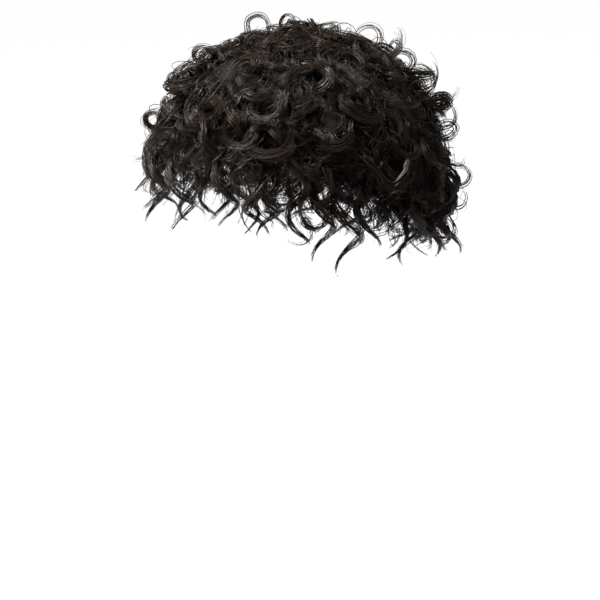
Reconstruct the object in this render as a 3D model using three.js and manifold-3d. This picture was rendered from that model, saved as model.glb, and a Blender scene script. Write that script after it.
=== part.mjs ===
// A curly black toupee: a thin cap shaped to the top of the head, and the hair that it carries, in five tufts.
// Each tuft is a thick backing of dense hair with curled locks fused to it.
// Millimetres, +Z up. The origin is the inside of the cap at the crown, where the head touches it.
// The wearer looks along -Y, with the left side at +X.
// An azimuth goes round the head from the front towards the left, and a dip goes down from the crown,
// both in degrees. A dip past 90 hangs straight down. A lift is a height above the skin.
import * as THREE from "three";
import { mergeVertices } from "three/addons/utils/BufferGeometryUtils.js";
import Module from "manifold-3d";

const wasm = await Module();
wasm.setup();

// The head that the cap fits
const headWidth = 154;
const headLength = 196;
const crownHeight = 98; // from the level where the head is widest

// The cap
const capWall = 1.2;
const capReach = 93; // degrees of dip down to its edge at the back

// The dense hair
const hairDepth = 25;
const hairDrop = 146; // from the crown down to its hem at the nape
const hemDepth = 8;
const hemEasing = 34; // degrees of dip over which the hair thins to its hem
const headClearance = 4; // between the hanging hair and the skin, besides the cap's wall
const clearanceEasing = 26; // degrees of dip below the cap's edge
const hemRipple = 4;
const crownEdge = 41; // degrees of dip down to where the crown's tuft ends
const clumpRelief = 4;
const pieceGap = 0.3;

// The locks
const curlRadius = 11;
const lockWidth = 9;
const lockThickness = 5;
const lockOverhang = 50; // of a long hanging lock, below the hem
const rootDepth = 0.4; // share of the hair's depth at which a lock starts
const hangingRoot = 0.64; // share of the way down to the hem at which a hanging lock starts
const hangingLift = 0.9; // share of the hair's depth
const hangingTilt = 14; // degrees, as in the tables below
const riseShare = 0.3; // of a lock's length in which it comes out of the dense hair
const taperShare = 0.45; // of its length, where it starts to thin
const tipShare = 0.3; // of the width that is left at its tip
const disorder = 0.3; // share of their spacing and of their curl by which a row's locks vary
const stepsPerTurn = 6;
const lockSides = 4;

// A table's rows with its columns' names
function table(columns, ...rows) {
  return rows.map((row) => Object.fromEntries(columns.map((name, k) => [name, row[k]])));
}

// How far the cap and the hair come down and how deep the hair is, as shares of capReach, hairDrop, lockOverhang
// and hairDepth
const outline = table(
  ["azimuth", "cap", "hem", "overhang", "depth"],
  [0, 0.57, 0.53, 1, 1.4],
  [25, 0.56, 0.53, 1.1, 1.35],
  [50, 0.54, 0.6, 1, 1.15],
  [80, 0.7, 0.76, 0.8, 0.95],
  [100, 0.76, 0.85, 0.65, 0.95],
  [135, 0.9, 0.94, 0.4, 1.1],
  [180, 1, 1, 0.4, 1.05],
);

// Bands of dip, from the crown down, with the rings of faces in each one. The last one only holds hanging locks.
const bandRings = [3, 4, 4, 1];
const columnTurn = 9; // degrees of azimuth

// The tufts, with the azimuths and bands between which each one grows, and the band where its hanging locks end
const tufts = [
  { name: "crown_hair", from: -180, to: 180, firstBand: 0, lastBand: 1, roomBand: 1 },
  { name: "front_fringe", from: -45, to: 45, firstBand: 1, lastBand: 3, roomBand: 4 },
  { name: "left_side_hair", from: 45, to: 117, firstBand: 1, lastBand: 3, roomBand: 4 },
  { name: "back_hair", from: 117, to: 243, firstBand: 1, lastBand: 3, roomBand: 4 },
  { name: "right_side_hair", from: 243, to: 315, firstBand: 1, lastBand: 3, roomBand: 4 },
];

// Curls that lie on the dense hair on the side that the photo shows. A curl starts at an azimuth and a dip and
// travels by drift and fall, all in degrees. lift is a share of the hair's depth, curl of curlRadius and width of
// lockWidth. turns counts its turns, phase is where they start, and tilt leans them from a coil round its way, at 0,
// to a ring flat on the hair, at 90.
const curls = table(
  ["azimuth", "dip", "drift", "fall", "lift", "curl", "turns", "phase", "tilt", "width"],
  [-34, 67, 9, 1, 1.15, 0.75, 1.4, 0, 0, 0.8],
  [-34, 50, 14, 12, 0.85, 1.4, 0.9, -90, 15, 1.5],
  [-14, 44, 10, 14, 1, 1.15, 1.3, 60, 50, 1.2],
  [-4, 32, 8, 5, 1.05, 0.7, 1.2, 0, 60, 0.9],
  [28, 41, 4, 5, 1, 1.2, 0.8, 20, 80, 1.1],
  [18, 59, 4, 5, 1.05, 1.35, 1.3, 100, 80, 1],
  [46, 56, 4, 4, 1, 1.2, 1.2, -60, 80, 1.1],
  [42, 69, 18, 8, 1, 0.9, 0.9, 180, 65, 1],
  [48, 22, 8, 4, 1, 1.1, 1.2, 30, 75, 1.2],
  [67, 44, 3, 5, 1, 1.45, 1.2, -30, 80, 1.2],
  [72, 64, 8, 12, 0.95, 1.1, 1.3, 150, 55, 1.3],
  [89, 54, 4, 6, 1, 1.1, 1.1, 70, 75, 1.2],
  [80, 83, 3, 6, 1, 1.3, 1.3, -20, 80, 1.1],
  [98, 80, 3, 8, 1, 1.1, 1, 200, 75, 1.1],
  [108, 72, 3, 4, 1, 1.05, 1.3, 90, 80, 1],
  [113, 46, 6, 12, 0.95, 1.2, 1.2, 0, 50, 1.3],
  [143, 42, 5, 9, 1.2, 1.15, 1.1, 60, 30, 1.4],
  [148, 58, 5, 7, 1.15, 1.05, 1.2, 200, 25, 1.3],
);

// Locks that hang below the hem on that side. reach is a share of the overhang, and pointing is the way in degrees
// that the curl points at the tip: 0 is away from the head and 90 to the wearer's left.
const hangingLocks = table(
  ["azimuth", "drift", "reach", "curl", "turns", "pointing", "width"],
  [-44, 2, 0.8, 0.85, 2, 200, 1],
  [-31, 0, 0.85, 0.8, 2.2, 10, 1],
  [-17, 2, 0.75, 0.9, 2, 300, 1.2],
  [-4, 0, 0.8, 0.8, 2.2, 270, 1],
  [13, 0, 0.85, 0.95, 2.2, 290, 1.2],
  [24, 3, 0.75, 0.75, 2.2, 90, 0.9],
  [34, 0, 0.8, 0.8, 2.2, 260, 1.1],
  [44, 3, 0.8, 0.75, -2.2, 100, 1],
  [53, -2, 0.85, 0.7, 2.3, 280, 1.05],
  [62, 0, 1, 0.8, 2.2, 90, 1.1],
  [71, 2, 1.05, 0.85, 2, 265, 1],
  [80, 3, 1.2, 1.05, 1.9, 270, 1.15],
  [92, -2, 0.7, 0.9, 1.8, 90, 0.9],
  [103, 2, 0.9, 1, -1.8, 270, 0.7],
  [113, 0, 1, 0.9, 1.7, 250, 0.9],
  [124, 2, 0.9, 0.8, 1.6, 90, 0.9],
  [135, 0, 1.1, 0.9, -1.6, 60, 1.3],
  [147, 3, 0.9, 1, 1.6, 30, 0.9],
);

// Rows of locks on the other sides. root and tip are shares of the way down from the crown to the hem.
const lyingRows = table(
  ["from", "to", "count", "root", "tip", "lift", "curl", "turns", "tilt", "width"],
  [110, 400, 5, 0.12, 0.3, 1, 1.2, 1.2, 70, 1.3],
  [130, 325, 6, 0.36, 0.56, 1, 1.2, 1.2, 65, 1.3],
  [120, 320, 6, 0.62, 0.84, 1, 1.2, 1.3, 60, 1.3],
);
const hangingRow = { from: 154, to: 310, count: 10, curl: 0.9, turns: 1.8, width: 0.95 };

const { lerp, smoothstep, euclideanModulo, degToRad, radToDeg } = THREE.MathUtils;

// A number from 0 to 1 that stays the same for the same lock and use
function chance(index, use) {
  const turned = Math.sin(index * 12.9898 + use * 78.233) * 43758.5453;
  return turned - Math.floor(turned);
}

// A column of the outline at any azimuth, with the right side as the left one
function outlineAt(azimuth, column) {
  const turned = Math.abs(euclideanModulo(azimuth + 180, 360) - 180);
  const next = Math.max(1, outline.findIndex((row) => row.azimuth >= turned));
  const [low, high] = [outline[next - 1], outline[next]];
  return lerp(low[column], high[column], smoothstep(turned, low.azimuth, high.azimuth));
}

// The three directions at a place on the head: away from it, down along it and round it to the left
function directions(azimuth, dip) {
  const [round, down] = [degToRad(azimuth), degToRad(Math.min(dip, 90))];
  return {
    out: new THREE.Vector3(Math.sin(down) * Math.sin(round), -Math.sin(down) * Math.cos(round), Math.cos(down)),
    down: new THREE.Vector3(Math.cos(down) * Math.sin(round), -Math.cos(down) * Math.cos(round), -Math.sin(down)),
    left: new THREE.Vector3(Math.cos(round), Math.sin(round), 0),
  };
}

function headPoint(azimuth, dip, lift) {
  const hang = degToRad(Math.max(dip - 90, 0)) * crownHeight;
  const size = new THREE.Vector3(headWidth / 2, headLength / 2, crownHeight).addScalar(lift);
  return directions(azimuth, dip).out.multiply(size).add(new THREE.Vector3(0, 0, -crownHeight - hang));
}

// The dip at which the skin lies that far under the crown
function dipOfDrop(drop) {
  return drop < crownHeight ? radToDeg(Math.acos(1 - drop / crownHeight)) : 90 + radToDeg(drop / crownHeight - 1);
}

const capEdge = (azimuth) => outlineAt(azimuth, "cap") * capReach;
const hemDrop = (azimuth) => outlineAt(azimuth, "hem") * hairDrop + hemRipple * Math.sin(degToRad(azimuth * 10));
const hemDip = (azimuth) => dipOfDrop(hemDrop(azimuth));
const tipDip = (azimuth) => dipOfDrop(hemDrop(azimuth) + outlineAt(azimuth, "overhang") * lockOverhang);
const fullDepth = (azimuth, dip) => hairDepth * lerp(1, outlineAt(azimuth, "depth"), smoothstep(dip, 0, crownEdge));

// The dip at a place in the bands, such as 1.5 for the middle of the second one
function bandDip(azimuth, place) {
  const marks = [0, crownEdge, capEdge(azimuth), hemDip(azimuth), tipDip(azimuth) + crownEdge];
  const band = Math.min(Math.floor(place), bandRings.length - 1);
  return lerp(marks[band], marks[band + 1], place - band);
}

function innerLift(azimuth, dip) {
  return capWall + pieceGap + headClearance * smoothstep(dip - capEdge(azimuth), 0, clearanceEasing);
}

// The dense hair swells and sinks a little, where its curls gather into clumps
function outerLift(azimuth, dip) {
  const clumps = Math.sin(degToRad(azimuth * 9) + 2 * Math.sin(degToRad(dip * 5))) * Math.cos(degToRad(dip * 8));
  const swell = clumps * clumpRelief * Math.sin(degToRad(Math.min(dip, 90)));
  const thinned = smoothstep(dip, hemDip(azimuth) - hemEasing, hemDip(azimuth));
  return lerp(fullDepth(azimuth, dip) + swell, innerLift(azimuth, dip) + hemDepth, thinned);
}

// A closed solid from triangles that may share places, without the triangles that have no area
function solidOf(points, faces) {
  const geometry = new THREE.BufferGeometry().setFromPoints(points).setIndex(faces);
  const merged = mergeVertices(geometry, 1e-4);
  const triVerts = [];
  for (let k = 0; k < merged.index.count; k += 3) {
    const [a, b, c] = merged.index.array.slice(k, k + 3);
    if (a !== b && b !== c && c !== a) triVerts.push(a, b, c);
  }
  return new wasm.Manifold(new wasm.Mesh({
    numProp: 3, vertProperties: merged.attributes.position.array, triVerts: new Uint32Array(triVerts),
  }));
}

// A wall over an area of the head, from one lift to another. Its sides and its top keep a margin where another
// piece goes on, so that walls over the same area have the same faces.
function headWall({ from, to, firstBand, lastBand, margin = 0, inner, outer }) {
  const whole = to - from >= 360;
  const places = [];
  for (let band = firstBand; band < lastBand; band++)
    for (let k = 0; k < bandRings[band]; k++) places.push(band + k / bandRings[band]);
  places.push(lastBand);
  const rows = places.length - 1;
  const columns = (to - from) / columnTurn;
  const points = [];
  for (const lift of [outer, inner])
    for (let i = 0; i <= columns; i++)
      for (const [j, place] of places.entries()) {
        const side = whole ? 0 : margin * ((i === 0) - (i === columns));
        const end = margin * ((j === 0 && firstBand > 0) - (j === rows && lastBand === 1));
        const azimuth = from + i * columnTurn + side;
        const dip = bandDip(azimuth, place) + end;
        points.push(headPoint(azimuth, dip, lift(azimuth, dip)));
      }
  const outside = (i, j) => i * (rows + 1) + j;
  const inside = (i, j) => outside(columns + 1 + i, j);
  const faces = [];
  const quad = (a, b, c, d) => faces.push(a, b, c, a, c, d);
  for (let i = 0; i < columns; i++) {
    for (let j = 0; j < rows; j++) {
      quad(outside(i, j), outside(i, j + 1), outside(i + 1, j + 1), outside(i + 1, j));
      quad(inside(i, j), inside(i + 1, j), inside(i + 1, j + 1), inside(i, j + 1));
    }
    if (firstBand > 0) quad(outside(i, 0), outside(i + 1, 0), inside(i + 1, 0), inside(i, 0));
    quad(outside(i, rows), inside(i, rows), inside(i + 1, rows), outside(i + 1, rows));
  }
  for (let j = 0; j < rows && !whole; j++) {
    quad(outside(0, j), inside(0, j), inside(0, j + 1), outside(0, j + 1));
    quad(outside(columns, j), outside(columns, j + 1), inside(columns, j + 1), inside(columns, j));
  }
  return solidOf(points, faces);
}

// Where a lock is at a share of its length, with the way that its curl points there
function lockPoint(lock, share) {
  const azimuth = lock.azimuth + lock.drift * share;
  const dip = lock.dip + lock.fall * share;
  const risen = Math.sin(Math.min(share / riseShare, 1) * Math.PI / 2);
  const lift = lerp(lock.rootLift, lock.lift, risen);
  const { out, down, left } = directions(azimuth, dip);
  const heading = Math.atan2(lock.drift * Math.sin(degToRad(dip)), lock.fall);
  const side = left.clone().multiplyScalar(Math.cos(heading)).addScaledVector(down, -Math.sin(heading));
  const forward = down.multiplyScalar(Math.cos(heading)).addScaledVector(left, Math.sin(heading));
  const turn = degToRad(lock.phase) + lock.turns * share * 2 * Math.PI;
  const tilt = degToRad(lock.tilt);
  const curl = out.multiplyScalar(Math.cos(tilt)).addScaledVector(forward, Math.sin(tilt))
    .multiplyScalar(Math.cos(turn)).addScaledVector(side, Math.sin(turn));
  return { curl, point: headPoint(azimuth, dip, lift).addScaledVector(curl, curlRadius * lock.curl * risen) };
}

// A flat lock that follows its curls and thins to its tip
function lockSolid(lock) {
  const points = [];
  const faces = [];
  const steps = Math.ceil(Math.abs(lock.turns) * stepsPerTurn);
  const step = 1 / steps;
  for (let s = 0; s <= steps; s++) {
    const share = s * step;
    const { curl, point } = lockPoint(lock, share);
    const along = lockPoint(lock, Math.min(share + step / 2, 1)).point
      .sub(lockPoint(lock, Math.max(share - step / 2, 0)).point).normalize();
    const round = along.clone().cross(curl).normalize();
    const wide = round.clone().applyAxisAngle(along, -degToRad(lock.tilt));
    const thin = wide.clone().cross(along);
    const fullness = lerp(1, tipShare, smoothstep(share, taperShare, 1)) / 2;
    for (let m = 0; m < lockSides; m++) {
      const turn = (m / lockSides) * 2 * Math.PI;
      points.push(point.clone()
        .addScaledVector(wide, Math.cos(turn) * lock.width * lockWidth * fullness)
        .addScaledVector(thin, Math.sin(turn) * lockThickness * fullness));
    }
  }
  const at = (s, m) => s * lockSides + (m % lockSides);
  for (let m = 0; m < lockSides; m++)
    for (let s = 0; s < steps; s++) {
      faces.push(at(s, m), at(s + 1, m + 1), at(s, m + 1));
      faces.push(at(s, m), at(s + 1, m), at(s + 1, m + 1));
    }
  for (let m = 1; m < lockSides - 1; m++) {
    faces.push(at(0, 0), at(0, m), at(0, m + 1));
    faces.push(at(steps, 0), at(steps, m + 1), at(steps, m));
  }
  return solidOf(points, faces);
}

// A lock with the depths that it needs, from a row of curls
function lyingLock(curl) {
  const depth = fullDepth(curl.azimuth, curl.dip);
  return { ...curl, rootLift: depth * rootDepth, lift: depth * curl.lift };
}

// A lock with the way that it falls, from a row of hanging locks
function hangingLock(row) {
  const root = hemDip(row.azimuth) * hangingRoot;
  const overhang = outlineAt(row.azimuth, "overhang") * lockOverhang * row.reach;
  const depth = fullDepth(row.azimuth, root);
  return {
    ...row,
    dip: root,
    fall: dipOfDrop(hemDrop(row.azimuth) + overhang) - root,
    phase: row.pointing - row.turns * 360,
    tilt: hangingTilt,
    rootLift: depth * rootDepth,
    lift: depth * hangingLift,
  };
}

// A row's locks, spread over its azimuths with a little disorder
function spread(row, rowIndex) {
  return Array.from({ length: row.count }, (_, k) => {
    const index = rowIndex * 40 + k;
    const spacing = (row.to - row.from) / row.count;
    return {
      ...row,
      azimuth: row.from + spacing * (k + 0.5 + (chance(index, 1) - 0.5) * disorder),
      drift: (chance(index, 2) - 0.5) * spacing * disorder * 2,
      curl: row.curl * (1 + (chance(index, 3) - 0.5) * disorder),
      turns: row.turns * (chance(index, 4) < 0.5 ? -1 : 1),
      pointing: chance(index, 5) * 360,
      reach: 1 - disorder * chance(index, 6),
    };
  });
}

// A curl with its place in degrees, from a row's lock that has it in shares
function placed(row) {
  const hem = hemDip(row.azimuth);
  return { ...row, dip: hem * row.root, fall: hem * (row.tip - row.root), phase: row.pointing };
}

// A tuft: its backing and the locks that pass through its space, as one solid
function tuftSolid(tuft, locks) {
  const margin = radToDeg(pieceGap / headWidth);
  const backing = headWall({ ...tuft, margin, inner: innerLift, outer: outerLift });
  const room = headWall({
    ...tuft,
    margin: margin * 1.5,
    lastBand: tuft.roomBand,
    inner: (azimuth, dip) => innerLift(azimuth, dip) + pieceGap / 2,
    outer: () => 2 * hairDepth + 4 * curlRadius,
  });
  const bodies = backing.add(room.intersect(locks)).decompose();
  return bodies.sort((a, b) => b.volume() - a.volume())[0];
}

function meshOf(name, solid, material) {
  const { numProp, vertProperties, triVerts } = solid.getMesh();
  const geometry = new THREE.BufferGeometry()
    .setAttribute("position", new THREE.BufferAttribute(vertProperties, numProp))
    .setIndex(new THREE.BufferAttribute(triVerts, 1));
  geometry.computeVertexNormals();
  const mesh = new THREE.Mesh(geometry, material);
  mesh.name = name;
  return mesh;
}

const hair = new THREE.MeshStandardMaterial({ color: 0x14110f, roughness: 0.42, metalness: 0 });
const lace = new THREE.MeshStandardMaterial({ color: 0xb08d72, roughness: 0.85, metalness: 0 });

const toupee = new THREE.Group();
const cap = headWall({ from: -180, to: 180, firstBand: 0, lastBand: 2, inner: () => 0, outer: () => capWall });
toupee.add(meshOf("base_cap", cap, lace));
const lying = [...curls, ...lyingRows.flatMap(spread).map(placed)].map(lyingLock);
const hanging = [...hangingLocks, ...spread(hangingRow, lyingRows.length)].map(hangingLock);
const locks = [...lying, ...hanging].map(lockSolid).reduce((made, lock) => made.add(lock));
for (const tuft of tufts) toupee.add(meshOf(tuft.name, tuftSolid(tuft, locks), hair));

export default toupee;
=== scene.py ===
import math

import bpy
import numpy as np
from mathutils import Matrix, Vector


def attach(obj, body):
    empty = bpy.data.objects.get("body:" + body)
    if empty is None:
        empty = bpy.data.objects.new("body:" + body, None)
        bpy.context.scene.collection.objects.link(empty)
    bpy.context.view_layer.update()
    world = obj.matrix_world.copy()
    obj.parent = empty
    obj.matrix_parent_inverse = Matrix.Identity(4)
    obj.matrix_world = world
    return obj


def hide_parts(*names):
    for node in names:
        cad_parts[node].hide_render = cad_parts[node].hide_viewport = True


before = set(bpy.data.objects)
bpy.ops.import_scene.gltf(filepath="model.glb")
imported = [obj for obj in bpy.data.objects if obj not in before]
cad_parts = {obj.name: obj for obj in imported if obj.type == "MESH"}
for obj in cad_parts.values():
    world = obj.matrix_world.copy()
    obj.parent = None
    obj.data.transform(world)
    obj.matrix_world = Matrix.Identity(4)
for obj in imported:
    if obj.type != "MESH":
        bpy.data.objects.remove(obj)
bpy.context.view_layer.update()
bpy.ops.object.select_all(action="DESELECT")

# the camera stands where the picture was taken from
view = {
    "azimuth": 60,  # degrees, from the front towards the wearer's left
    "elevation": 9,
    "distance": 2.0,
    "pixel": 0.000815,  # metres, at the crown's distance
    "picture": 600,  # pixels on each side
    "crownAt": (304, 61),
    "sensor": 36,  # millimetres
    "clipEnd": 500,
}


# a way out from the middle, with its angles in degrees
def wayTo(azimuth, elevation):
    turn, rise = math.radians(azimuth), math.radians(elevation)
    return Vector((math.sin(turn) * math.cos(rise), -math.cos(turn) * math.cos(rise), math.sin(rise)))


def makeCamera():
    turn = math.radians(view["azimuth"])
    back = wayTo(view["azimuth"], view["elevation"])
    right = Vector((math.cos(turn), math.sin(turn), 0))
    up = back.cross(right)
    x, y = view["crownAt"]
    middle = view["picture"] / 2
    aim = (right * (middle - x) + up * (y - middle)) * view["pixel"]
    bpy.ops.object.camera_add(
        location=aim + back * view["distance"], rotation=back.to_track_quat("Z", "Y").to_euler()
    )
    camera = bpy.context.object
    camera.data.sensor_width = view["sensor"]
    camera.data.lens = view["sensor"] * view["distance"] / (view["picture"] * view["pixel"])
    camera.data.clip_end = view["clipEnd"]
    bpy.context.scene.camera = camera


class Wire:
    # a socket in a material, so that maths on it is written as Python
    def __init__(self, tree, socket=None):
        self.tree = tree
        self.socket = socket

    def node(self, kind, settings=None, inputs=None, output=0):
        made = self.tree.nodes.new(kind)
        for name, value in (settings or {}).items():
            setattr(made, name, value)
        for name, value in (inputs or {}).items():
            if isinstance(value, Wire):
                self.tree.links.new(value.socket, made.inputs[name])
            else:
                made.inputs[name].default_value = value
        return Wire(self.tree, made.outputs[output] if made.outputs else None)

    def math(self, operation, first, second=0.0):
        return self.node("ShaderNodeMath", {"operation": operation}, {0: first, 1: second})

    def __add__(self, other):
        return self.math("ADD", self, other)

    def __rsub__(self, other):
        return self.math("SUBTRACT", other, self)

    def __mul__(self, other):
        return self.math("MULTIPLY", self, other)

    def __pow__(self, other):
        return self.math("POWER", self, other)

    __radd__ = __add__


def newMaterial(name):
    material = bpy.data.materials.new(name)
    material.use_nodes = True
    material.node_tree.nodes.clear()
    return material, Wire(material.node_tree)


def closeMaterial(wire, inputs):
    surface = wire.node("ShaderNodeBsdfPrincipled", None, inputs)
    wire.node("ShaderNodeOutputMaterial", None, {"Surface": surface})


def mixColour(wire, factor, dark, light):
    return wire.node("ShaderNodeMix", {"data_type": "RGBA"}, {"Factor": factor, 6: dark, 7: light}, 2)


# a pale floor far below, soft light from over the wearer's brow and a weaker one from the left behind
studio = {
    "floorDrop": 1.0,
    "floorSize": 160,
    "floorColour": (0.99, 0.99, 0.99, 1),
    "floorRoughness": 0.85,
    "skyColour": (1, 1, 1, 1),
    "skyStrength": 1.0,
    "middle": (0, 0, -0.06),
    "lights": [
        {"azimuth": -4, "elevation": 57, "distance": 1.5, "size": 0.6, "power": 760},
        {"azimuth": 120, "elevation": 68, "distance": 1.5, "size": 0.6, "power": 100},
    ],
}


def makeStudio():
    bpy.ops.mesh.primitive_plane_add(size=studio["floorSize"], location=(0, 0, -studio["floorDrop"]))
    floor = bpy.context.object
    floor.name = "floor"
    material, wire = newMaterial("paleFloor")
    grain = wire.node("ShaderNodeTexNoise", None, {"Scale": 3.0, "Detail": 2.0})
    closeMaterial(wire, {
        "Base Color": studio["floorColour"],
        "Roughness": studio["floorRoughness"] + grain * 0.1,
    })
    floor.data.materials.append(material)
    world = bpy.data.worlds.new("studioSky")
    world.use_nodes = True
    sky = world.node_tree.nodes["Background"]
    sky.inputs["Color"].default_value = studio["skyColour"]
    sky.inputs["Strength"].default_value = studio["skyStrength"]
    bpy.context.scene.world = world
    for light in studio["lights"]:
        way = wayTo(light["azimuth"], light["elevation"])
        place = Vector(studio["middle"]) + way * light["distance"]
        bpy.ops.object.light_add(type="AREA", location=place, rotation=way.to_track_quat("Z", "Y").to_euler())
        bpy.context.object.data.shape = "DISK"
        bpy.context.object.data.size = light["size"]
        bpy.context.object.data.energy = light["power"]
    bpy.context.scene.view_settings.view_transform = "Standard"


def table(columns, *rows):
    return [dict(zip(columns.split(), row)) for row in rows]


# the head that the cap fits, in metres. An azimuth goes round it from the front towards the left and a dip
# goes down from the crown, both in degrees, and a dip past 90 hangs straight down. A lift is a height above
# the skin.
head = {"width": 0.154, "length": 0.196, "crownHeight": 0.098}
cap = {"wall": 0.0012, "reach": 93, "segments": 120, "rings": 40, "cutAt": 0.0001, "smoothUpTo": 50}
denseHair = {
    "depth": 0.025,
    "drop": 0.146,
    "hemDepth": 0.008,
    "hemEasing": 34,
    "clearance": 0.004,
    "clearanceEasing": 26,
    "ripple": 0.004,
    "ripples": 10,
    "crownEdge": 41,
    "relief": 0.004,
    "clumpsRound": 9,
    "clumpsDown": 8,
    "clumpBend": 2,
    "clumpBends": 5,
    "gap": 0.0003,
    "overhang": 0.05,
}
outline = table(
    "azimuth cap hem overhang depth",
    (0, 0.57, 0.53, 1, 1.4),
    (25, 0.56, 0.53, 1.1, 1.35),
    (50, 0.54, 0.6, 1, 1.15),
    (80, 0.7, 0.76, 0.8, 0.95),
    (100, 0.76, 0.85, 0.65, 0.95),
    (135, 0.9, 0.94, 0.4, 1.1),
    (180, 1, 1, 0.4, 1.05),
)


def smooth(x, low, high):
    t = np.clip((x - low) / (high - low), 0, 1)
    return t * t * (3 - 2 * t)


def lerp(a, b, t):
    return a + (b - a) * t


def outlineAt(azimuth, column):
    turned = np.abs((np.asarray(azimuth, float) + 180) % 360 - 180)
    value = np.full(turned.shape, float(outline[0][column]))
    for low, high in zip(outline, outline[1:]):
        part = lerp(low[column], high[column], smooth(turned, low["azimuth"], high["azimuth"]))
        value = np.where(turned > low["azimuth"], part, value)
    return value


# away from the head, down along it and round it to the left
def directions(azimuth, dip):
    turn, down = np.radians(azimuth), np.radians(np.minimum(dip, 90))
    turn, down = np.broadcast_arrays(turn, down)
    out = np.stack([np.sin(down) * np.sin(turn), -np.sin(down) * np.cos(turn), np.cos(down)], -1)
    along = np.stack([np.cos(down) * np.sin(turn), -np.cos(down) * np.cos(turn), -np.sin(down)], -1)
    left = np.stack([np.cos(turn), np.sin(turn), 0 * turn], -1)
    return out, along, left


def headPoint(azimuth, dip, lift):
    height = head["crownHeight"]
    hang = np.radians(np.maximum(dip - 90, 0)) * height
    size = np.array([head["width"] / 2, head["length"] / 2, height]) + np.asarray(lift)[..., None]
    point = directions(azimuth, dip)[0] * size
    point[..., 2] -= height + hang
    return point


def dipOfDrop(drop):
    share = np.asarray(drop) / head["crownHeight"]
    return np.where(share < 1, np.degrees(np.arccos(np.clip(1 - share, -1, 1))), 90 + np.degrees(share - 1))


crownDrop = head["crownHeight"] * (1 - math.cos(math.radians(denseHair["crownEdge"])))


def capEdge(azimuth):
    return outlineAt(azimuth, "cap") * cap["reach"]


def hemDrop(azimuth):
    ripple = denseHair["ripple"] * np.sin(np.radians(azimuth * denseHair["ripples"]))
    return outlineAt(azimuth, "hem") * denseHair["drop"] + ripple


def hemDip(azimuth):
    return dipOfDrop(hemDrop(azimuth))


def fullDepth(azimuth, dip):
    return denseHair["depth"] * lerp(1, outlineAt(azimuth, "depth"), smooth(dip, 0, denseHair["crownEdge"]))


def innerLift(azimuth, dip):
    below = smooth(dip - capEdge(azimuth), 0, denseHair["clearanceEasing"])
    return cap["wall"] + denseHair["gap"] + denseHair["clearance"] * below


def outerLift(azimuth, dip):
    bend = denseHair["clumpBend"] * np.sin(np.radians(dip * denseHair["clumpBends"]))
    around = np.sin(np.radians(azimuth * denseHair["clumpsRound"]) + bend)
    clumps = around * np.cos(np.radians(dip * denseHair["clumpsDown"]))
    swell = clumps * denseHair["relief"] * np.sin(np.radians(np.minimum(dip, 90)))
    thinned = smooth(dip, hemDip(azimuth) - denseHair["hemEasing"], hemDip(azimuth))
    return lerp(fullDepth(azimuth, dip) + swell, innerLift(azimuth, dip) + denseHair["hemDepth"], thinned)


# the tufts, with the azimuths between which each one grows
tufts = {
    "crown_hair": (-180, 180),
    "front_fringe": (-45, 45),
    "left_side_hair": (45, 117),
    "back_hair": (117, 243),
    "right_side_hair": (243, 315),
}


def tuftOf(azimuth, dip):
    if dip < denseHair["crownEdge"]:
        return "crown_hair"
    first = tufts["front_fringe"][0]
    turned = (azimuth - first) % 360 + first
    sides = [name for name, (low, high) in tufts.items() if name != "crown_hair" and low <= turned < high]
    return sides[0]


# a lock's own shape. Widths and radii are metres, the tilt is in degrees, and the other values are shares of
# its length or of the depth.
lock = {
    "radius": 0.011,
    "width": 0.009,
    "thickness": 0.006,
    "rootDepth": 0.4,
    "hangingRoot": 0.64,
    "hangingLift": 0.9,
    "hangingTilt": 14,
    "rise": 0.3,
    "taper": 0.45,
    "tip": 0.15,
    "hangingTaper": 0.6,
    "hangingTip": 0.26,
    "disorder": 0.3,
}

# curls that lie on the side that the picture shows
curls = table(
    "azimuth dip drift fall lift curl turns phase tilt width",
    (-34, 67, 9, 1, 1.15, 0.75, 1.4, 0, 0, 0.8),
    (-34, 50, 14, 12, 0.85, 1.4, 0.9, -90, 15, 1.5),
    (-14, 44, 10, 14, 1, 1.15, 1.3, 60, 50, 1.2),
    (-4, 32, 8, 5, 1.05, 0.7, 1.2, 0, 60, 0.9),
    (28, 41, 4, 5, 1, 1.2, 0.8, 20, 80, 1.1),
    (18, 59, 4, 5, 1.05, 1.35, 1.3, 100, 80, 1),
    (46, 56, 4, 4, 1, 1.2, 1.2, -60, 80, 1.1),
    (42, 69, 18, 8, 1, 0.9, 0.9, 180, 65, 1),
    (48, 22, 8, 4, 1, 1.1, 1.2, 30, 75, 1.2),
    (67, 44, 3, 5, 1, 1.45, 1.2, -30, 80, 1.2),
    (72, 64, 8, 12, 0.95, 1.1, 1.3, 150, 55, 1.3),
    (89, 54, 4, 6, 1, 1.1, 1.1, 70, 75, 1.2),
    (80, 83, 3, 6, 1, 1.3, 1.3, -20, 80, 1.1),
    (98, 80, 3, 8, 1, 1.1, 1, 200, 75, 1.1),
    (108, 72, 3, 4, 1, 1.05, 1.3, 90, 80, 1),
    (113, 46, 6, 12, 0.95, 1.2, 1.2, 0, 50, 1.3),
    (143, 42, 5, 9, 1.2, 1.15, 1.1, 60, 30, 1.4),
    (148, 58, 5, 7, 1.15, 1.05, 1.2, 200, 25, 1.3),
)

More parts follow.
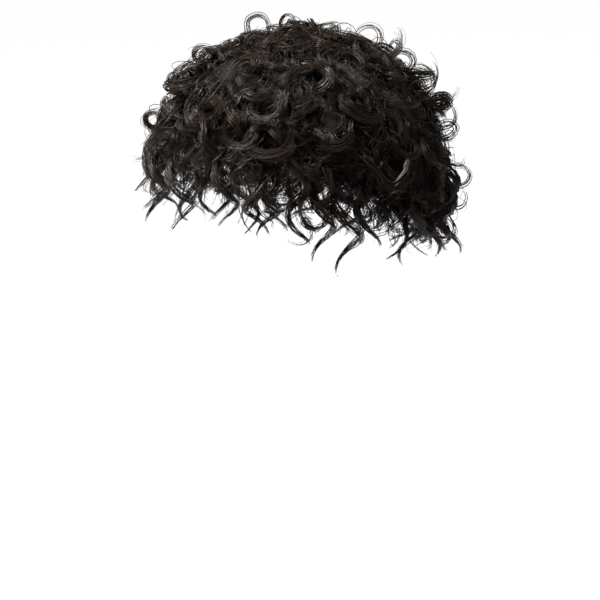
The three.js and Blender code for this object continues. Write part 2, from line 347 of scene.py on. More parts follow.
# locks that hang below the hem on that side
hangingLocks = table(
    "azimuth drift reach curl turns pointing width",
    (-44, 2, 0.8, 0.85, 2, 200, 1),
    (-31, 0, 0.85, 0.8, 2.2, 10, 1),
    (-17, 2, 0.75, 0.9, 2, 300, 1.2),
    (-4, 0, 0.8, 0.8, 2.2, 270, 1),
    (13, 0, 0.85, 0.95, 2.2, 290, 1.2),
    (24, 3, 0.75, 0.75, 2.2, 90, 0.9),
    (34, 0, 0.8, 0.8, 2.2, 260, 1.1),
    (44, 3, 0.8, 0.75, -2.2, 100, 1),
    (53, -2, 0.85, 0.7, 2.3, 280, 1.05),
    (62, 0, 1, 0.8, 2.2, 90, 1.1),
    (71, 2, 1.05, 0.85, 2, 265, 1),
    (80, 3, 1.2, 1.05, 1.9, 270, 1.15),
    (92, -2, 0.7, 0.9, 1.8, 90, 0.9),
    (103, 2, 0.9, 1, -1.8, 270, 0.7),
    (113, 0, 1, 0.9, 1.7, 250, 0.9),
    (124, 2, 0.9, 0.8, 1.6, 90, 0.9),
    (135, 0, 1.1, 0.9, -1.6, 60, 1.3),
    (147, 3, 0.9, 1, 1.6, 30, 0.9),
)

# rows of locks on the other sides
lyingRows = table(
    "start end count root tip lift curl turns tilt width",
    (110, 400, 5, 0.12, 0.3, 1, 1.2, 1.2, 70, 1.3),
    (130, 325, 6, 0.36, 0.56, 1, 1.2, 1.2, 65, 1.3),
    (120, 320, 6, 0.62, 0.84, 1, 1.2, 1.3, 60, 1.3),
)
hangingRow = {"start": 154, "end": 310, "count": 10, "curl": 0.9, "turns": 1.8, "width": 0.95}


# where each kind of lock starts in the row of chances
starts = {"row": 40, "tuft": 1000, "filler": 0, "wisp": 500, "loose": 700, "lining": 850, "coat": 2000}
goldenShare = 0.618034  # steps of this share of a span fall between the earlier ones


# the same share from 0 to 1 for the same index and use
def chance(index, use):
    return (math.sin(index * 12.9898 + use * 78.233) * 43758.5453) % 1


def between(low, high, index, use):
    return low + (high - low) * chance(index, use)


def eitherWay(index, use):
    return -1 if chance(index, use) < 0.5 else 1


def scattered(low, high, k, jitter):
    return low + (high - low) * ((k * goldenShare + jitter) % 1)


def firstOf(kind, seed):
    return seed * starts["tuft"] + starts[kind]


def spread(row, rowIndex):
    spacing = (row["end"] - row["start"]) / row["count"]
    for k in range(row["count"]):
        index = rowIndex * starts["row"] + k
        yield {
            **row,
            "azimuth": row["start"] + spacing * (k + 0.5 + (chance(index, 1) - 0.5) * lock["disorder"]),
            "drift": (chance(index, 2) - 0.5) * spacing * lock["disorder"] * 2,
            "curl": row["curl"] * (1 + (chance(index, 3) - 0.5) * lock["disorder"]),
            "turns": row["turns"] * eitherWay(index, 4),
            "pointing": chance(index, 5) * 360,
            "reach": 1 - lock["disorder"] * chance(index, 6),
        }


def placed(row):
    hem = float(hemDip(row["azimuth"]))
    fall = hem * (row["tip"] - row["root"])
    return {**row, "dip": hem * row["root"], "fall": fall, "phase": row["pointing"]}


# a lock ready for its strands: angles in degrees, lifts and sizes in metres
def lyingLock(row):
    depth = float(fullDepth(row["azimuth"], row["dip"]))
    return {**row, "rootLift": depth * lock["rootDepth"], "topLift": depth * row["lift"], "hangs": 0}


def hangingLock(row):
    root = float(hemDip(row["azimuth"])) * row.get("root", lock["hangingRoot"])
    reach = float(outlineAt(row["azimuth"], "overhang")) * denseHair["overhang"] * row["reach"]
    depth = float(fullDepth(row["azimuth"], root))
    return {
        "tilt": lock["hangingTilt"],
        **row,
        "dip": root,
        "fall": float(dipOfDrop(hemDrop(row["azimuth"]) + reach)) - root,
        "phase": row["pointing"] - row["turns"] * 360,
        "rootLift": depth * lock["rootDepth"],
        "topLift": depth * row.get("lift", lock["hangingLift"]),
        "hangs": 1,
    }


# smaller curls between the named ones, as many for each tuft as its area needs
filler = {
    "counts": {
        "crown_hair": 100,
        "front_fringe": 62,
        "left_side_hair": 68,
        "back_hair": 74,
        "right_side_hair": 64,
    },
    "jitter": 0.1,
    "foot": 0.97,  # of the hem's drop
    "ringShare": 0.7,  # the other ones are coils
    "turnedBy": {"crown_hair": 180},  # how far a curl's way may turn from straight down
    "turnedElse": 80,
    "leastSine": 0.25,
    "lift": (0.75, 1.12),
    "ring": {
        "travel": (3, 9),
        "curl": (0.6, 1.25),
        "turns": (1.0, 1.6),
        "tilt": (60, 90),
        "width": (0.4, 0.9),
    },
    "coil": {
        "travel": (16, 30),
        "curl": (0.4, 0.75),
        "turns": (1.3, 2.2),
        "tilt": (30, 65),
        "width": (0.3, 0.7),
    },
}


def fillerLocks(name, seed):
    low, high = tufts[name]
    count = filler["counts"][name]
    for k in range(count):
        index = firstOf("filler", seed) + k
        azimuth = scattered(low, high, k, chance(index, 1) * filler["jitter"])
        share = (k + chance(index, 2)) / count
        foot = float(hemDrop(azimuth)) * filler["foot"]
        drop = crownDrop * share if name == "crown_hair" else lerp(crownDrop, foot, share)
        dip = float(dipOfDrop(drop))
        kind = filler["ring" if chance(index, 12) < filler["ringShare"] else "coil"]
        turned = filler["turnedBy"].get(name, filler["turnedElse"])
        heading = math.radians(between(-turned, turned, index, 3))
        travel = between(*kind["travel"], index, 4)
        sine = math.sin(math.radians(min(dip, 90)))
        yield lyingLock({
            "azimuth": azimuth,
            "dip": dip,
            "drift": travel * math.sin(heading) / max(sine, filler["leastSine"]),
            "fall": travel * math.cos(heading),
            "lift": between(*filler["lift"], index, 5),
            "curl": between(*kind["curl"], index, 6),
            "turns": between(*kind["turns"], index, 7) * eitherWay(index, 8),
            "phase": between(0, 360, index, 9),
            "tilt": between(*kind["tilt"], index, 10),
            "width": between(*kind["width"], index, 11),
        })


# small loops and wisps that stand clear of the outline in the picture
strayLoops = table(
    "azimuth dip drift fall lift curl turns phase tilt width",
    (-30, 39, 4, 0, 1.05, 0.8, 0.9, 200, 0, 0.2),
    (-35, 18, 6, 0, 1.15, 0.95, 0.8, 250, 0, 0.2),
    (-28, 52, 5, 1, 1.1, 0.6, 0.9, 180, 10, 0.2),
    (-26, 76, 6, 3, 1.2, 0.9, 0.5, 120, 0, 0.15),
    (-22, 84, 4, 8, 1.15, 0.7, 0.8, 90, 0, 0.2),
    (20, 6, 8, 6, 1.2, 0.8, 0.9, 140, 0, 0.25),
    (60, 6, 8, 6, 1.3, 0.8, 0.6, 90, 0, 0.1),
    (90, 10, 10, 3, 1.25, 0.7, 0.7, 30, 0, 0.15),
    (120, 12, 20, 3, 0.95, 0.8, 1.2, 200, 10, 0.7),
    (139, 24, 14, 2, 1.05, 1.1, 1.1, 110, 15, 0.9),
    (147, 29, 8, 3, 1.15, 1.35, 0.6, 150, 0, 0.15),
    (148, 35, 7, 0, 1.3, 0.5, 1.1, 140, 0, 0.2),
    (147, 40, 8, 1, 1.1, 0.8, 1.5, 90, 5, 0.8),
    (151, 46, 6, 2, 1.2, 1.7, 0.55, 170, 0, 0.15),
    (149, 50, 7, 1, 1.15, 1.1, 1.3, 60, 5, 0.7),
    (152, 56, 6, 1, 1.3, 1.5, 0.5, 150, 0, 0.15),
    (147, 60, 7, 3, 1.05, 0.95, 1.2, 190, 20, 0.9),
    (153, 66, 5, 1, 1.2, 0.8, 0.9, 100, 0, 0.3),
    (150, 72, 6, 1, 1.15, 0.7, 1.4, 230, 0, 0.6),
    (152, 78, 6, 3, 1.2, 1.15, 0.5, 160, 5, 0.15),
    (149, 88, 6, 1, 1.25, 0.9, 1, 150, 0, 0.4),
    (146, 97, 5, 2, 1.2, 0.8, 1.1, 60, 0, 0.4),
)


# thin locks that break up the hem between the named ones
wisps = {
    "counts": {"front_fringe": 16, "left_side_hair": 16, "back_hair": 14, "right_side_hair": 14},
    "drift": (-5, 5),
    "reach": (0.1, 0.8),
    "curl": (0.4, 0.85),
    "turns": (1.2, 2.4),
    "width": (0.35, 0.75),
    "root": (0.62, 0.86),
    "tilt": (5, 35),
}


def wispLocks(name, seed):
    low, high = tufts[name]
    count = wisps["counts"].get(name, 0)
    for k in range(count):
        index = firstOf("wisp", seed) + k
        yield hangingLock({
            "azimuth": low + (high - low) * (k + chance(index, 1)) / count,
            "drift": between(*wisps["drift"], index, 2),
            "reach": between(*wisps["reach"], index, 3),
            "curl": between(*wisps["curl"], index, 4),
            "turns": between(*wisps["turns"], index, 5) * eitherWay(index, 6),
            "pointing": between(0, 360, index, 7),
            "width": between(*wisps["width"], index, 8),
            "root": between(*wisps["root"], index, 9),
            "tilt": between(*wisps["tilt"], index, 10),
        })


# how the strands lie in a lock and vary along it. Radii, fray, sway and the gap are metres.
strands = {
    "radius": 0.00034,
    "hangingRadius": 0.00044,
    "radiusRange": (0.75, 1.2),
    "rootShare": 0.6,
    "rootEnd": 0.15,
    "tipShare": 0.3,
    "tipStart": 0.35,
    "perLock": {
        "named": 42,
        "hanging": 33,
        "filler": 12,
        "wisp": 8,
        "stray": 9,
        "loose": 1,
        "coat": 3,
        "lining": 1,
    },
    "samples": {"lying": 15, "hanging": 21, "loose": 18, "coat": 10},
    "phaseSpread": 11,  # degrees at the tip
    "radiusSpread": 0.13,
    "lengthSpread": 0.12,
    "lengthRange": (-1.8, 0.2),
    "fray": 0.0013,
    "frayRange": (0.3, 1.4),
    "frayPower": 1.6,
    "frayWaves": (4.5, 9),
    "fastShare": 0.35,
    "sway": 0.0020,  # of a whole lock at its tip
    "swayWave": 6,
    "hangingShare": 0.4,  # of those spreads that a hanging lock has
    "skinGap": 0.0003,
    "stripes": 96,  # narrow bands of the strands' own map
    "stripeInset": 0.1,
    "stripeFill": 0.8,
    "stripesTop": 0.74,
    "mapStep": 0.001,
}


# many copies of locks as arrays, one row for each strand
def strandRows(locks, count, rng):
    names = "azimuth dip drift fall rootLift topLift curl turns phase tilt width hangs".split()
    rows = {name: np.repeat([float(row[name]) for row in locks], count)[:, None] for name in names}
    total = len(locks) * count
    angle = rng.uniform(0, 2 * np.pi, (total, 1))
    spot = np.sqrt(rng.uniform(0, 1, (total, 1)))
    rows["across"] = spot * np.cos(angle)
    rows["through"] = spot * np.sin(angle)
    loosened = lerp(1, strands["hangingShare"], rows["hangs"])
    rows["swirl"] = rng.normal(0, 1, (total, 1)) * loosened
    rows["widen"] = rng.normal(0, 1, (total, 1)) * loosened
    lengths = rng.uniform(*strands["lengthRange"], (total, 1))
    rows["length"] = 1 + strands["lengthSpread"] * lengths * loosened
    rows["fray"] = rng.uniform(*strands["frayRange"], (total, 1)) * loosened
    rows["waves"] = rng.uniform(0, 2 * np.pi, (total, 3))
    rows["sways"] = np.repeat(rng.uniform(0, 2 * np.pi, (len(locks), 3)), count, axis=0)
    return rows


def strandPaths(rows, samples):
    share = np.linspace(0, 1, samples)[None, :] * rows["length"]
    azimuth = rows["azimuth"] + rows["drift"] * share
    dip = rows["dip"] + rows["fall"] * share
    risen = np.sin(np.minimum(share / lock["rise"], 1) * np.pi / 2)
    lift = lerp(rows["rootLift"], rows["topLift"], risen)
    out, down, left = directions(azimuth, dip)
    sideways = rows["drift"] * np.sin(np.radians(np.minimum(dip, 90)))
    heading = np.arctan2(sideways, rows["fall"])[..., None]
    side = left * np.cos(heading) - down * np.sin(heading)
    forward = down * np.cos(heading) + left * np.sin(heading)
    swirl = rows["swirl"] * strands["phaseSpread"] * share
    turn = (np.radians(rows["phase"] + swirl) + rows["turns"] * share * 2 * np.pi)[..., None]
    tilt = np.radians(rows["tilt"])[..., None]
    curl = (out * np.cos(tilt) + forward * np.sin(tilt)) * np.cos(turn) + side * np.sin(turn)
    radius = lock["radius"] * rows["curl"] * risen * (1 + rows["widen"] * strands["radiusSpread"] * share)
    point = headPoint(azimuth, dip, lift) + curl * radius[..., None]
    along = unit(np.gradient(point, axis=1))
    turnedOut = unit(np.cross(along, curl))
    wide = turnedOut * np.cos(tilt) - np.cross(along, turnedOut) * np.sin(tilt)
    thin = np.cross(wide, along)
    tip = lerp(lock["tip"], lock["hangingTip"], rows["hangs"])
    taper = lerp(lock["taper"], lock["hangingTaper"], rows["hangs"])
    fullness = lerp(1, tip, smooth(share, taper, 1)) / 2
    point += wide * (rows["across"] * rows["width"] * lock["width"] * fullness)[..., None]
    point += thin * (rows["through"] * lock["thickness"] * fullness)[..., None]
    loosened = strands["fray"] * rows["fray"] * share ** strands["frayPower"]
    slow, fast = strands["frayWaves"]
    fastShare = strands["fastShare"]
    for axis in range(3):
        wave, sway = rows["waves"][:, axis:axis + 1], rows["sways"][:, axis:axis + 1]
        both = np.sin(slow * share + wave) + fastShare * np.sin(fast * share + 2 * wave)
        point[..., axis] += loosened * both / (1 + fastShare)
        point[..., axis] += strands["sway"] * share * np.sin(strands["swayWave"] * share + sway)
    return keptOutside(point), share


def unit(vectors):
    return vectors / np.maximum(np.linalg.norm(vectors, axis=-1, keepdims=True), 1e-9)


# strands stay off the skin and off the cap
def keptOutside(point):
    height, half = head["crownHeight"], np.array([head["width"] / 2, head["length"] / 2])
    flat = point[..., :2] / half
    azimuth = np.degrees(np.arctan2(flat[..., 0], -flat[..., 1]))
    above = point[..., 2] > -height
    rise = np.clip((point[..., 2] + height) / height, 0, 1)
    dip = np.where(above, np.degrees(np.arccos(rise)), 90 + np.degrees(-point[..., 2] / height - 1))
    size = np.concatenate([half, [height]]) + innerLift(azimuth, dip)[..., None] + strands["skinGap"]
    upper = np.maximum(point[..., 2] + height, 0)
    across, back = point[..., 0] / size[..., 0], point[..., 1] / size[..., 1]
    reach = np.sqrt(across ** 2 + back ** 2 + (upper / size[..., 2]) ** 2)
    push = np.maximum(1 / np.maximum(reach, 1e-6), 1)
    point[..., 0] *= push
    point[..., 1] *= push
    point[..., 2] = np.where(above, upper * push - height, point[..., 2])
    return point


# closed three-sided tubes along the paths, with a place on the strands' map for each one
def tubes(paths, share, radius, rng):
    total, samples = paths.shape[:2]
    along = unit(np.gradient(paths, axis=1))
    normal = np.empty_like(paths)
    across = unit(np.cross(along[:, 0], np.array([0.3, 0.5, 0.81])))
    for k in range(samples):
        across = unit(across - along[:, k] * (across * along[:, k]).sum(-1, keepdims=True))
        normal[:, k] = across
    binormal = np.cross(along, normal)
    rooted = lerp(strands["rootShare"], 1, smooth(share, 0, strands["rootEnd"]))
    tipped = lerp(1, strands["tipShare"], smooth(share, strands["tipStart"], 1))
    thick = radius * rooted * tipped
    corners = []
    for m in range(3):
        turn = 2 * np.pi * m / 3
        corners.append(paths + (normal * np.cos(turn) + binormal * np.sin(turn)) * thick[..., None])
    points = np.stack(corners, 2).reshape(-1, 3)
    first = np.arange(total)[:, None, None] * samples * 3
    step = np.arange(samples - 1)[None, :, None] * 3
    side = np.arange(3)[None, None, :]
    after = (side + 1) % 3
    quads = np.stack(
        [first + step + side, first + step + after, first + step + 3 + after, first + step + 3 + side], -1
    ).reshape(-1, 4)
    last = first[:, 0, 0] + (samples - 1) * 3
    start = first[:, 0, 0]
    ends = np.concatenate([
        np.stack([start, start + 2, start + 1], -1),
        np.stack([last, last + 1, last + 2], -1),
    ])
    stripe = rng.integers(0, strands["stripes"], total)[:, None, None, None]
    fill = strands["stripeFill"]
    leftEdge = (stripe + strands["stripeInset"] + fill * side[..., None] / 3) / strands["stripes"]
    rightEdge = leftEdge + fill / 3 / strands["stripes"]
    low = np.arange(samples - 1)[None, :, None, None] / (samples - 1) + 0 * leftEdge
    high = low + 1 / (samples - 1)
    leftEdge = leftEdge + 0 * low
    rightEdge = rightEdge + 0 * low
    across = np.stack([leftEdge, rightEdge, rightEdge, leftEdge], -1)[..., 0, :]
    upward = np.stack([low, low, high, high], -1)[..., 0, :]
    quadMap = np.stack([across, upward * strands["stripesTop"]], -1).reshape(-1, 2)
    stripeEnd = (np.concatenate([stripe, stripe])[:, 0, 0, 0] + 0.5) / strands["stripes"]
    nudge = strands["mapStep"]
    height = np.repeat([2 * nudge, strands["stripesTop"] - 2 * nudge], total)
    endMap = np.stack([
        stripeEnd[:, None] + np.array([[0, nudge, -nudge]]),
        height[:, None] + np.array([[0, nudge, nudge]]),
    ], -1).reshape(-1, 2)
    return {"points": points, "quads": quads, "triangles": ends, "quadMap": quadMap, "endMap": endMap}


def strandTubes(locks, count, samples, radius, rng):
    rows = strandRows(locks, count, rng)
    paths, share = strandPaths(rows, samples)
    varied = radius * rng.uniform(*strands["radiusRange"], (paths.shape[0], 1))
    return tubes(paths, share, varied, rng)


# the dense hair under the strands, as one wall
backing = {
    "columnTurn": 3,  # degrees
    "rings": 26,
    "share": 0.8,  # of the outer lift
    "thinnest": 0.002,
    "overlap": 1.0,  # degrees past the crown's edge
    "hemShare": 0.87,
    "ragged": 0.03,
    "raggedWaves": (17, 41),
    "raggedTurn": 50,
    "furrow": 0.0016,
    "furrows": 30,
    "furrowBend": 40,
    "furrowBends": 9,
    "mapGap": 0.01,
    "mapShare": 0.94,
}


def backingWall(name):
    low, high = tufts[name]
    whole = name == "crown_hair"
    columns = int((high - low) / backing["columnTurn"])
    rings = backing["rings"] // 2 if whole else backing["rings"]
    turn, down = np.meshgrid(np.linspace(low, high, columns + 1), np.linspace(0, 1, rings + 1), indexing="ij")
    coarse, fine = backing["raggedWaves"]
    waves = np.sin(np.radians(turn * coarse)) + np.sin(np.radians(turn * fine + backing["raggedTurn"]))
    edge = hemDip(turn) * (backing["hemShare"] + backing["ragged"] * waves / 2)
    if whole:
        dip = lerp(0.0, denseHair["crownEdge"] + backing["overlap"], down)
    else:
        dip = lerp(denseHair["crownEdge"] - backing["overlap"], edge, down)
    bend = backing["furrowBend"] * np.sin(np.radians(dip * backing["furrowBends"]))
    furrow = backing["furrow"] * np.sin(np.radians(turn * backing["furrows"] + bend))
    outer = outerLift(turn, dip) * backing["share"] + furrow * np.sin(np.radians(np.minimum(dip, 90)))
    inner = innerLift(turn, dip)
    outer = np.maximum(outer, inner + backing["thinnest"])
    points = np.concatenate([headPoint(turn, dip, lift).reshape(-1, 3) for lift in (outer, inner)])
    across, row = columns + 1, rings + 1
    inside = across * row

    def at(i, j):
        return i * row + j

    i, j = [grid.ravel() for grid in np.meshgrid(np.arange(columns), np.arange(rings), indexing="ij")]
    outFaces = np.stack([at(i, j), at(i, j + 1), at(i + 1, j + 1), at(i + 1, j)], -1)
    inFaces = inside + np.stack([at(i, j), at(i + 1, j), at(i + 1, j + 1), at(i, j + 1)], -1)
    c, r = np.arange(columns), np.arange(rings)
    foot = np.stack([at(c, rings), inside + at(c, rings), inside + at(c + 1, rings), at(c + 1, rings)], -1)
    top = np.stack([at(c, 0), at(c + 1, 0), inside + at(c + 1, 0), inside + at(c, 0)], -1)
    begin = np.stack([at(0, r), inside + at(0, r), inside + at(0, r + 1), at(0, r + 1)], -1)
    finish = np.stack(
        [at(columns, r), at(columns, r + 1), inside + at(columns, r + 1), inside + at(columns, r)], -1
    )
    quads = np.concatenate([outFaces, inFaces, foot] + ([] if whole else [top, begin, finish]))
    base = strands["stripesTop"] + backing["mapGap"]
    each = (1 - base) / 2
    upward = down * each * backing["mapShare"]
    sideways = (turn - low) / (high - low)
    outMap = np.stack([sideways, base + upward], -1).reshape(-1, 2)
    inMap = np.stack([sideways, base + each + upward], -1).reshape(-1, 2)
    pointMap = np.concatenate([outMap, inMap])
    return {
        "points": points,
        "quads": quads,
        "triangles": np.empty((0, 3), int),
        "quadMap": pointMap[quads].reshape(-1, 2),
        "endMap": np.empty((0, 2)),
    }


# one mesh from many parts, each with its own material
def joinedMesh(name, parts, materials):
    def gathered(key):
        return [part[key] for part, slot in parts]

    points = np.concatenate(gathered("points"))
    begins = np.cumsum([0] + [len(each) for each in gathered("points")])[:-1]
    quads = np.concatenate([each + begin for each, begin in zip(gathered("quads"), begins)])
    ends = np.concatenate([each + begin for each, begin in zip(gathered("triangles"), begins)])
    maps = np.concatenate(gathered("quadMap") + gathered("endMap"))
    slots = []
    for key in ("quads", "triangles"):
        slots += [np.full(len(part[key]), slot) for part, slot in parts]
    corners = np.concatenate([quads.ravel(), ends.ravel()])
    mesh = bpy.data.meshes.new(name)
    mesh.vertices.add(len(points))
    mesh.vertices.foreach_set("co", points.ravel())
    mesh.loops.add(len(corners))
    mesh.loops.foreach_set("vertex_index", corners)
    mesh.polygons.add(len(quads) + len(ends))
    begin = np.concatenate([np.arange(len(quads)) * 4, len(quads) * 4 + np.arange(len(ends)) * 3])
    mesh.polygons.foreach_set("loop_start", begin)
    mesh.polygons.foreach_set("material_index", np.concatenate(slots))
    mesh.update(calc_edges=True)
    mesh.shade_smooth()
    mesh.uv_layers.new(name="OFBake").data.foreach_set("uv", maps.ravel())
    for material in materials:
        mesh.materials.append(material)
    piece = bpy.data.objects.new(name, mesh)
    bpy.context.collection.objects.link(piece)
    mesh.validate()
    return piece, len(quads) * 2 + len(ends)


# how far across and along the strands' map a place on it is
def mapShares(wire, place):
    across = wire.node("ShaderNodeSeparateXYZ", None, {0: place}, 0)
    along = wire.node("ShaderNodeSeparateXYZ", None, {0: place}, 1)
    return across, along


strandLook = {
    "dark": (0.0005, 0.0003, 0.0002, 1),
    "light": (0.0036, 0.0024, 0.0016, 1),
    "roughness": 0.24,
    "sheen": 0.02,
    "streaks": (900, 5, 3.1),
    "bump": 0.25,
    "bumpDepth": 0.0001,
}


def strandMaterial():
    material, wire = newMaterial("blackStrands")
    place = wire.node("ShaderNodeUVMap", {"uv_map": "OFBake"})
    across, along = mapShares(wire, place)
    stripe = wire.math("FLOOR", across * strands["stripes"])
    tone = wire.node("ShaderNodeTexWhiteNoise", {"noise_dimensions": "1D"}, {"W": stripe + 0.5})
    fine, long, apart = strandLook["streaks"]
    place = {"X": across * fine, "Y": along * long, "Z": stripe * apart}
    spot = wire.node("ShaderNodeCombineXYZ", None, place)
    streak = wire.node("ShaderNodeTexNoise", None, {"Vector": spot, "Scale": 1.0, "Detail": 2.0})
    light = tone ** 3 * 0.6 + streak * 0.35
    bump = {"Strength": strandLook["bump"], "Distance": strandLook["bumpDepth"], "Height": streak}
    closeMaterial(wire, {
        "Base Color": mixColour(wire, light, strandLook["dark"], strandLook["light"]),
        "Roughness": strandLook["roughness"] + tone * 0.08 + streak * 0.1,
        "Specular IOR Level": strandLook["sheen"],
        "Normal": wire.node("ShaderNodeBump", None, bump),
    })
    return material


# the dense hair's colours: dark is the hair's own black, and light is painted highlight, put on the wall in
# streaks in place of single strands catching the light
backingLookWithPaintedHighlights = {
    "dark": (0.0003, 0.0002, 0.0002, 1),
    "light": (0.009, 0.0068, 0.0055, 1),
    "roughness": 0.7,
    "sheen": 0.02,
    "streaks": (260, 24),
    "bend": 60,
    "bendScale": 7.0,
    "bump": 0.9,
    "bumpDepth": 0.0015,
}


def backingMaterial():
    material, wire = newMaterial("denseHair")
    place = wire.node("ShaderNodeUVMap", {"uv_map": "OFBake"})
    across, along = mapShares(wire, place)
    wide = {"Vector": place, "Scale": backingLookWithPaintedHighlights["bendScale"], "Detail": 1.0}
    bend = wire.node("ShaderNodeTexNoise", None, wide)
    fine, long = backingLookWithPaintedHighlights["streaks"]
    sideways = across * fine + bend * backingLookWithPaintedHighlights["bend"]
    spot = wire.node("ShaderNodeCombineXYZ", None, {"X": sideways, "Y": along * long, "Z": 0.0})
    streak = wire.node("ShaderNodeTexNoise", None, {"Vector": spot, "Scale": 1.0, "Detail": 3.0})
    bump = {"Strength": backingLookWithPaintedHighlights["bump"], "Distance": backingLookWithPaintedHighlights["bumpDepth"], "Height": streak}
    closeMaterial(wire, {
        # painted highlights: the lighter streaks in the base colour stand for strands catching the light
        "Base Color": mixColour(wire, streak ** 3, backingLookWithPaintedHighlights["dark"], backingLookWithPaintedHighlights["light"]),
        "Roughness": backingLookWithPaintedHighlights["roughness"] + streak * 0.2,
        "Specular IOR Level": backingLookWithPaintedHighlights["sheen"],
        "Normal": wire.node("ShaderNodeBump", None, bump),
    })
    return material


# single hairs that stand off the mass
loose = {
    "count": 70,
    "radius": 0.00030,
    "strayTimes": 1.2,  # a stray lock's strands are thicker by this
    "drift": (-14, 14),
    "fall": (-4, 14),
    "lift": (0.8, 1.25),
    "curl": (0.5, 1.3),
    "turns": (0.6, 1.5),
    "tilt": (0, 80),
    "width": 0.3,
}


def looseLocks(name, seed):
    low, high = tufts[name]
    for k in range(loose["count"]):
        index = firstOf("loose", seed) + k
        azimuth = between(low, high, index, 1)
        top, foot = (0, crownDrop) if name == "crown_hair" else (crownDrop, float(hemDrop(azimuth)))
        yield lyingLock({
            "azimuth": azimuth,
            "dip": float(dipOfDrop(lerp(top, foot, chance(index, 2)))),
            "drift": between(*loose["drift"], index, 3),
            "fall": between(*loose["fall"], index, 4),
            "lift": between(*loose["lift"], index, 5),
            "curl": between(*loose["curl"], index, 6),
            "turns": between(*loose["turns"], index, 7) * eitherWay(index, 8),
            "phase": between(0, 360, index, 9),
            "tilt": between(*loose["tilt"], index, 10),
            "width": loose["width"],
        })


def strayLocks(name):
    return [lyingLock(row) for row in strayLoops if tuftOf(row["azimuth"], row["dip"]) == name]


# single hairs that line the inner side below the cap
lining = {
    "counts": {"front_fringe": 44, "left_side_hair": 60, "back_hair": 76, "right_side_hair": 60},
    "inset": 1,
    "start": (-6, 6),  # degrees past the cap's edge
    "easedAt": 20,
    "rootLift": 0.003,
    "lift": (-0.0002, 0.0012),  # over the inner lift
    "drift": (-6, 6),
    "foot": (0.78, 0.98),  # of the hem's dip
    "curl": (0.1, 0.35),
    "turns": (1, 2.5),
    "tilt": 90,
    "width": 0.2,
}


def liningLocks(name, seed):
    low, high = tufts[name]
    for k in range(lining["counts"].get(name, 0)):
        index = firstOf("lining", seed) + k
        azimuth = between(low + lining["inset"], high - lining["inset"], index, 1)
        start = float(capEdge(azimuth)) + between(*lining["start"], index, 2)
        inner = float(innerLift(azimuth, start + lining["easedAt"]))
        yield {
            "azimuth": azimuth,
            "dip": start,
            "drift": between(*lining["drift"], index, 4),
            "fall": float(hemDip(azimuth)) * between(*lining["foot"], index, 5) - start,
            "rootLift": lining["rootLift"],
            "topLift": inner + between(*lining["lift"], index, 3),
            "curl": between(*lining["curl"], index, 6),
            "turns": between(*lining["turns"], index, 7),
            "phase": between(0, 360, index, 8),
            "tilt": lining["tilt"],
            "width": lining["width"],
            "hangs": 1,
        }


# wavy hair that lies close on the dense hair, where no curl covers it
coat = {
    "counts": {
        "crown_hair": 190,
        "front_fringe": 90,
        "left_side_hair": 130,
        "back_hair": 104,
        "right_side_hair": 140,
    },
    "radius": 0.0004,
    "jitter": 0.05,
    "top": 0.6,  # of the crown's drop
    "foot": 0.9,  # of the hem's drop
    "drift": (-9, 9),
    "fall": (14, 28),
    "upShare": 0.6,  # of the crown's hairs
    "rootShare": 0.9,
    "lift": (0.001, 0.004),  # over the dense hair
    "curl": (0.3, 0.8),
    "turns": (-1.3, 1.3),
    "tilt": (60, 90),
    "width": 0.9,
}


def coatLocks(name, seed):
    low, high = tufts[name]
    count = coat["counts"][name]
    crown = name == "crown_hair"
    for k in range(count):
        index = firstOf("coat", seed) + k
        azimuth = scattered(low, high, k, chance(index, 1) * coat["jitter"])
        top = 0 if crown else crownDrop * coat["top"]
        foot = crownDrop if crown else float(hemDrop(azimuth)) * coat["foot"]
        dip = float(dipOfDrop(lerp(top, foot, (k + chance(index, 2)) / count)))
        cover = float(outerLift(azimuth, dip)) * backing["share"]
        upward = crown and chance(index, 10) < coat["upShare"]
        yield {
            "azimuth": azimuth,
            "dip": dip,
            "drift": between(*coat["drift"], index, 3),
            "fall": between(*coat["fall"], index, 4) * (-1 if upward else 1),
            "rootLift": cover * coat["rootShare"],
            "topLift": cover + between(*coat["lift"], index, 5),
            "curl": between(*coat["curl"], index, 6),
            "turns": between(*coat["turns"], index, 7),
            "phase": between(0, 360, index, 8),
            "tilt": between(*coat["tilt"], index, 9),
            "width": coat["width"],
            "hangs": 0,
        }


def makeTuft(name, seed, materials):
    rng = np.random.default_rng(seed)
    named = [row for row in namedLocks if tuftOf(row["azimuth"], row["dip"]) == name]
    radius, looseRadius = strands["radius"], loose["radius"]
    # locks, the kinds that their count of strands and of samples go by, and a strand's radius
    groups = [
        ([row for row in named if not row["hangs"]], "named", "lying", radius),
        ([row for row in named if row["hangs"]], "hanging", "hanging", strands["hangingRadius"]),
        (fillerLocks(name, seed), "filler", "lying", radius),
        (wispLocks(name, seed), "wisp", "hanging", radius),
        (strayLocks(name), "stray", "loose", looseRadius * loose["strayTimes"]),
        (looseLocks(name, seed), "loose", "loose", looseRadius),
        (coatLocks(name, seed), "coat", "coat", coat["radius"]),
        (liningLocks(name, seed), "lining", "lying", radius),
    ]
    parts = [(backingWall(name), 1)]
    for group, kind, pace, thickness in groups:
        locks = list(group)
        if locks:
            count, samples = strands["perLock"][kind], strands["samples"][pace]
            parts.append((strandTubes(locks, count, samples, thickness, rng), 0))
    piece, triangles = joinedMesh(name + "_strands", parts, materials)
    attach(piece, "root")
    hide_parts(name)
    print(name, "with", len(named), "named locks and", triangles, "triangles")


laceLook = {
    "ground": (0.06, 0.038, 0.026, 1),
    "thread": (0.16, 0.107, 0.075, 1),
    "knot": (0.02, 0.014, 0.011, 1),
    "meshScale": 620.0,
    "knotScale": 330.0,
    "cloudScale": 40.0,
    "roughness": 0.7,
    "bump": 0.5,
    "bumpDepth": 0.0003,
}


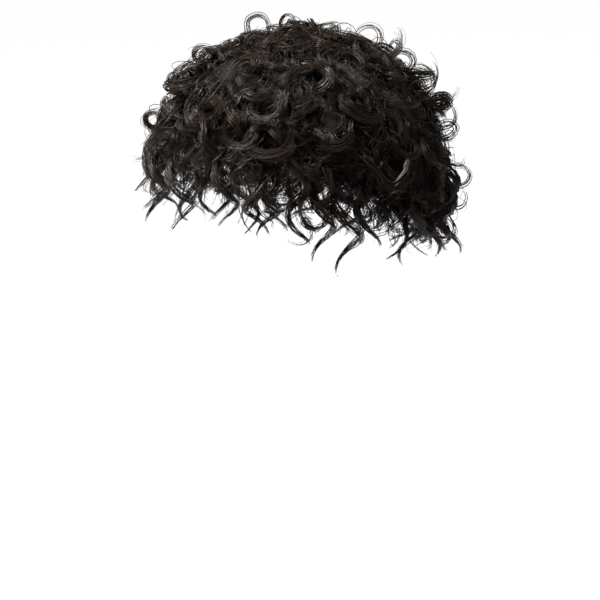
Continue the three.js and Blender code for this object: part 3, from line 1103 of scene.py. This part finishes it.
def laceMaterial():
    material, wire = newMaterial("lace")
    place = wire.node("ShaderNodeTexCoord", None, None, "Object")
    meshPlace = {"Vector": place, "Scale": laceLook["meshScale"]}
    knotPlace = {"Vector": place, "Scale": laceLook["knotScale"]}
    cloudPlace = {"Vector": place, "Scale": laceLook["cloudScale"], "Detail": 3.0}
    cells = wire.node("ShaderNodeTexVoronoi", {"feature": "DISTANCE_TO_EDGE"}, meshPlace)
    spots = wire.node("ShaderNodeTexVoronoi", None, knotPlace)
    cloud = wire.node("ShaderNodeTexNoise", None, cloudPlace)
    hole = wire.node("ShaderNodeMapRange", None, {"Value": cells, "From Min": 0.03, "From Max": 0.16})
    thread = 1 - hole
    knot = wire.node("ShaderNodeMapRange", None, {"Value": spots, "From Min": 0.34, "From Max": 0.2})
    net = mixColour(wire, thread * 0.8 + cloud * 0.2, laceLook["ground"], laceLook["thread"])
    bump = {
        "Strength": laceLook["bump"],
        "Distance": laceLook["bumpDepth"],
        "Height": thread + knot * 0.8,
    }
    closeMaterial(wire, {
        "Base Color": mixColour(wire, knot * 0.85, net, laceLook["knot"]),
        "Roughness": laceLook["roughness"] + thread * 0.15,
        "Normal": wire.node("ShaderNodeBump", None, bump),
    })
    return material


# the cap is a sphere that is cut level, drawn to its edge all round and thickened
def makeCap():
    bpy.ops.object.select_all(action="DESELECT")
    bpy.ops.mesh.primitive_uv_sphere_add(
        segments=cap["segments"], ring_count=cap["rings"] * 2, radius=1, location=(0, 0, 0)
    )
    piece = bpy.context.object
    piece.name = "lace_cap"
    bpy.ops.object.mode_set(mode="EDIT")
    bpy.ops.mesh.select_all(action="SELECT")
    bpy.ops.mesh.bisect(plane_co=(0, 0, cap["cutAt"]), plane_no=(0, 0, 1), clear_inner=True)
    bpy.ops.object.mode_set(mode="OBJECT")
    count = len(piece.data.vertices)
    points = np.empty(count * 3)
    piece.data.vertices.foreach_get("co", points)
    points = points.reshape(-1, 3)
    azimuth = np.degrees(np.arctan2(points[:, 0], -points[:, 1]))
    dip = np.degrees(np.arccos(np.clip(points[:, 2], -1, 1))) / 90 * capEdge(azimuth)
    points = headPoint(azimuth, dip, np.zeros(count))
    piece.data.vertices.foreach_set("co", points.ravel())
    wall = piece.modifiers.new("wall", "SOLIDIFY")
    wall.thickness = cap["wall"]
    wall.offset = 1
    bpy.ops.object.modifier_apply(modifier=wall.name)
    rim = piece.modifiers.new("rim", "BEVEL")
    rim.width = cap["wall"] / 4
    rim.segments = 2
    rim.limit_method = "ANGLE"
    bpy.ops.object.modifier_apply(modifier=rim.name)
    bpy.ops.object.shade_smooth_by_angle(angle=math.radians(cap["smoothUpTo"]))
    piece.data.materials.append(laceMaterial())
    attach(piece, "root")
    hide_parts("base_cap")
    print("cap with", sum(len(face.vertices) - 2 for face in piece.data.polygons), "triangles")


makeCamera()
makeStudio()
print("camera and studio stand")

lying = [*curls, *[placed(row) for index, rows in enumerate(lyingRows) for row in spread(rows, index)]]
hanging = [*hangingLocks, *spread(hangingRow, len(lyingRows))]
namedLocks = [lyingLock(row) for row in lying] + [hangingLock(row) for row in hanging]
hairMaterials = [strandMaterial(), backingMaterial()]
for seed, name in enumerate(tufts, 1):
    makeTuft(name, seed, hairMaterials)
makeCap()
